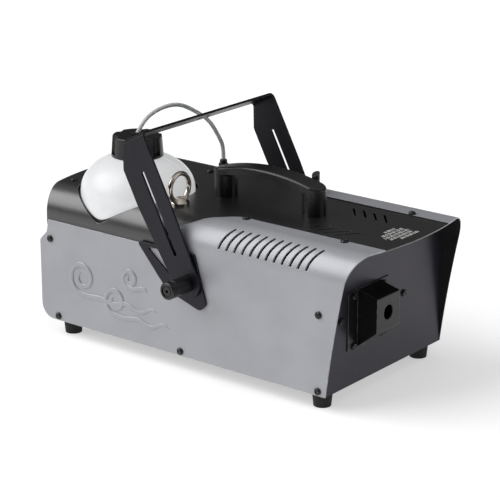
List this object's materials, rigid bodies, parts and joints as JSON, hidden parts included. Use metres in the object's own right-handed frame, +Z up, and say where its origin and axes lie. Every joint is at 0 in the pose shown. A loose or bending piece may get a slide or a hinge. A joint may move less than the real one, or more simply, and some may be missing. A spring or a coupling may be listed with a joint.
{
  "type": "fog machine",
  "caption": "Boxy stage fog machine with a tilting hanging yoke, carrying handle, lifting eye, capped fluid bottle with clear feed hose, hooded nozzle end and rear controls.",
  "frame": {"origin": "on the floor under the middle of the casing, half way between the hood tip and the tail of the top cover", "axes": "+X to the right seen from the nozzle end looking back along +Y, +Y from the nozzle end to the rear, +Z up"},
  "size_m": [0.3418, 0.521, 0.3048],
  "materials": {
    "silver_paint": "satin silver powder coat, fine orange peel",
    "black_paint": "matt black powder coat, fine texture",
    "black_plastic": "moulded black plastic, light grain",
    "red_plastic": "moulded red plastic",
    "rubber": "moulded rubber",
    "bottle_plastic": "blow-moulded natural polyethylene, milky",
    "clear_hose": "clear extruded hose",
    "nickel": "nickel plated forging",
    "zinc_steel": "zinc plated steel",
    "stainless": "rolled stainless sheet",
    "black_screw": "black oxide steel",
    "brass": "turned brass",
    "cast_aluminium": "as cast",
    "ceramic_fibre": "white fibre blanket",
    "circuit_board": "green solder mask"
  },
  "bodies": {
    "casing": {"side_cover_left": "silver_paint", "side_cover_right": "silver_paint", "top_cover": "black_paint", "bottom_tray": "black_paint", "front_panel": "black_paint", "rear_panel": "black_paint", "rubber_feet": "rubber", "foot_screws": "zinc_steel", "lifting_frame": "zinc_steel", "pivot_plate_left": "black_paint", "pivot_plate_right": "black_paint", "plate_screws": "black_screw", "pivot_studs": "zinc_steel", "pivot_washers": "rubber", "handle": "black_plastic", "handle_bolts": "zinc_steel", "eye_bolt": "nickel", "eye_bolt_nut": "zinc_steel", "tank_well": "black_plastic", "tank_shelf": "zinc_steel", "fluid_tank": "bottle_plastic", "hose_grommet": "rubber", "pickup_tube": "clear_hose", "pickup_filter": "brass", "fluid_hose": "clear_hose", "hose_fitting": "black_plastic", "inner_hose": "clear_hose", "pump": "black_plastic", "pump_bracket": "zinc_steel", "heater_pipe": "brass", "heater_block": "cast_aluminium", "heater_insulation": "ceramic_fibre", "heater_shell": "stainless", "heater_brackets": "zinc_steel", "thermostat": "zinc_steel", "nozzle": "brass", "nozzle_cover": "black_paint", "nozzle_cover_screws": "black_screw", "front_panel_screws": "black_screw", "side_cover_screws": "black_screw", "flange_screws": "black_screw", "top_cover_screws": "black_screw", "cover_thumbscrew": "black_plastic", "control_board": "circuit_board", "board_parts": "black_plastic", "board_posts": "zinc_steel", "power_inlet": "black_plastic", "fuse_holder": "black_plastic", "switch_housing": "black_plastic", "remote_socket": "zinc_steel", "button_housing": "black_plastic", "dial_pot": "zinc_steel"},
    "yoke": {"yoke": "black_paint"},
    "knob_left": {"yoke_knob_left": "black_plastic"},
    "knob_right": {"yoke_knob_right": "black_plastic"},
    "cap": {"tank_cap": "black_plastic"},
    "rocker": {"switch_rocker": "black_plastic"},
    "button": {"fog_button": "red_plastic"},
    "dial": {"output_dial": "black_plastic"}
  },
  "joints": [
    {"name": "yoke_tilt", "type": "hinge", "parent": "casing", "child": "yoke", "pos_m": [0, -0.0048, 0.122], "axis": [1, 0, 0], "range_deg": [0, 85]},
    {"name": "knob_left_turn", "type": "hinge", "parent": "casing", "child": "knob_left", "pos_m": [-0.15, -0.0048, 0.122], "axis": [-1, 0, 0], "range_deg": [0, 360]},
    {"name": "knob_right_turn", "type": "hinge", "parent": "casing", "child": "knob_right", "pos_m": [0.15, -0.0048, 0.122], "axis": [1, 0, 0], "range_deg": [0, 360]},
    {"name": "cap_turn", "type": "hinge", "parent": "casing", "child": "cap", "pos_m": [-0.045, 0.1502, 0.255], "axis": [0, 0, 1], "range_deg": [0, 360]},
    {"name": "rocker_tip", "type": "hinge", "parent": "casing", "child": "rocker", "pos_m": [0.006, 0.2262, 0.047], "axis": [1, 0, 0], "range_deg": [-16, 0]},
    {"name": "button_press", "type": "slide", "parent": "casing", "child": "button", "axis": [0, -1, 0], "range_m": [0, 0.003], "stiffness_N_per_m": 300},
    {"name": "dial_turn", "type": "hinge", "parent": "casing", "child": "dial", "pos_m": [0.084, 0.2372, 0.11], "axis": [0, -1, 0], "range_deg": [0, 270]}
  ]
}
